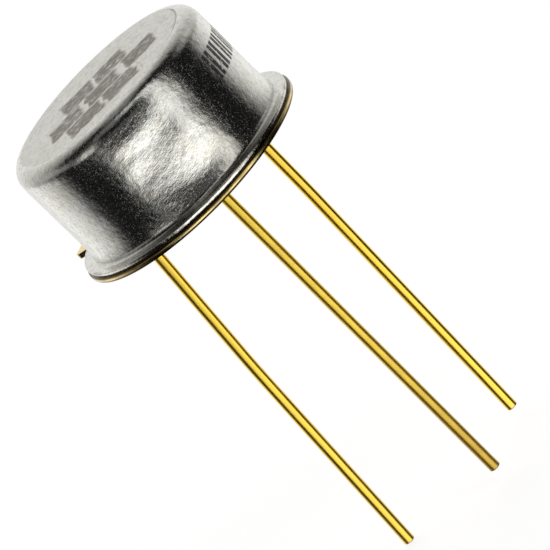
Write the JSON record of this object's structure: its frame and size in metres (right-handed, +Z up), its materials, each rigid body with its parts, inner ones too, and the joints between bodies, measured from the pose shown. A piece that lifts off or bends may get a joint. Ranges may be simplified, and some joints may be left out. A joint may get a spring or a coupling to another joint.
{
  "type": "voltage reference chip",
  "caption": "Voltage reference circuit in a low round metal can on a flanged header with a locating tab and long wire leads.",
  "frame": {"origin": "centre of the header's underside, the plane that seats on a circuit board", "axes": "+Z up through the can; lead 1 on -X, lead 2 on -Y, lead 3 on +X; the tab points between -X and +Y"},
  "size_m": [0.0092, 0.0092, 0.0188],
  "materials": {
    "nickel_can": "satin nickel, fine drawing marks round the wall",
    "gold_header": "gold plate on stamped sheet, satin",
    "gold_lead": "gold plate on drawn wire, bright",
    "seal_glass": "dark fused sealing glass, glossy",
    "braze_alloy": "flowed braze, satin",
    "attach_alloy": "thin eutectic layer",
    "silicon": "polished silicon",
    "bond_wire": "drawn fine wire"
  },
  "bodies": {
    "root": {"can": "nickel_can", "header": "gold_header", "lead_1": "gold_lead", "lead_2": "gold_lead", "lead_3": "gold_lead", "glass_seal_1": "seal_glass", "glass_seal_2": "seal_glass", "earth_braze": "braze_alloy", "die_attach": "attach_alloy", "die": "silicon", "bond_wire_1": "bond_wire", "bond_wire_2": "bond_wire", "bond_wire_earth": "bond_wire"}
  },
  "joints": []
}
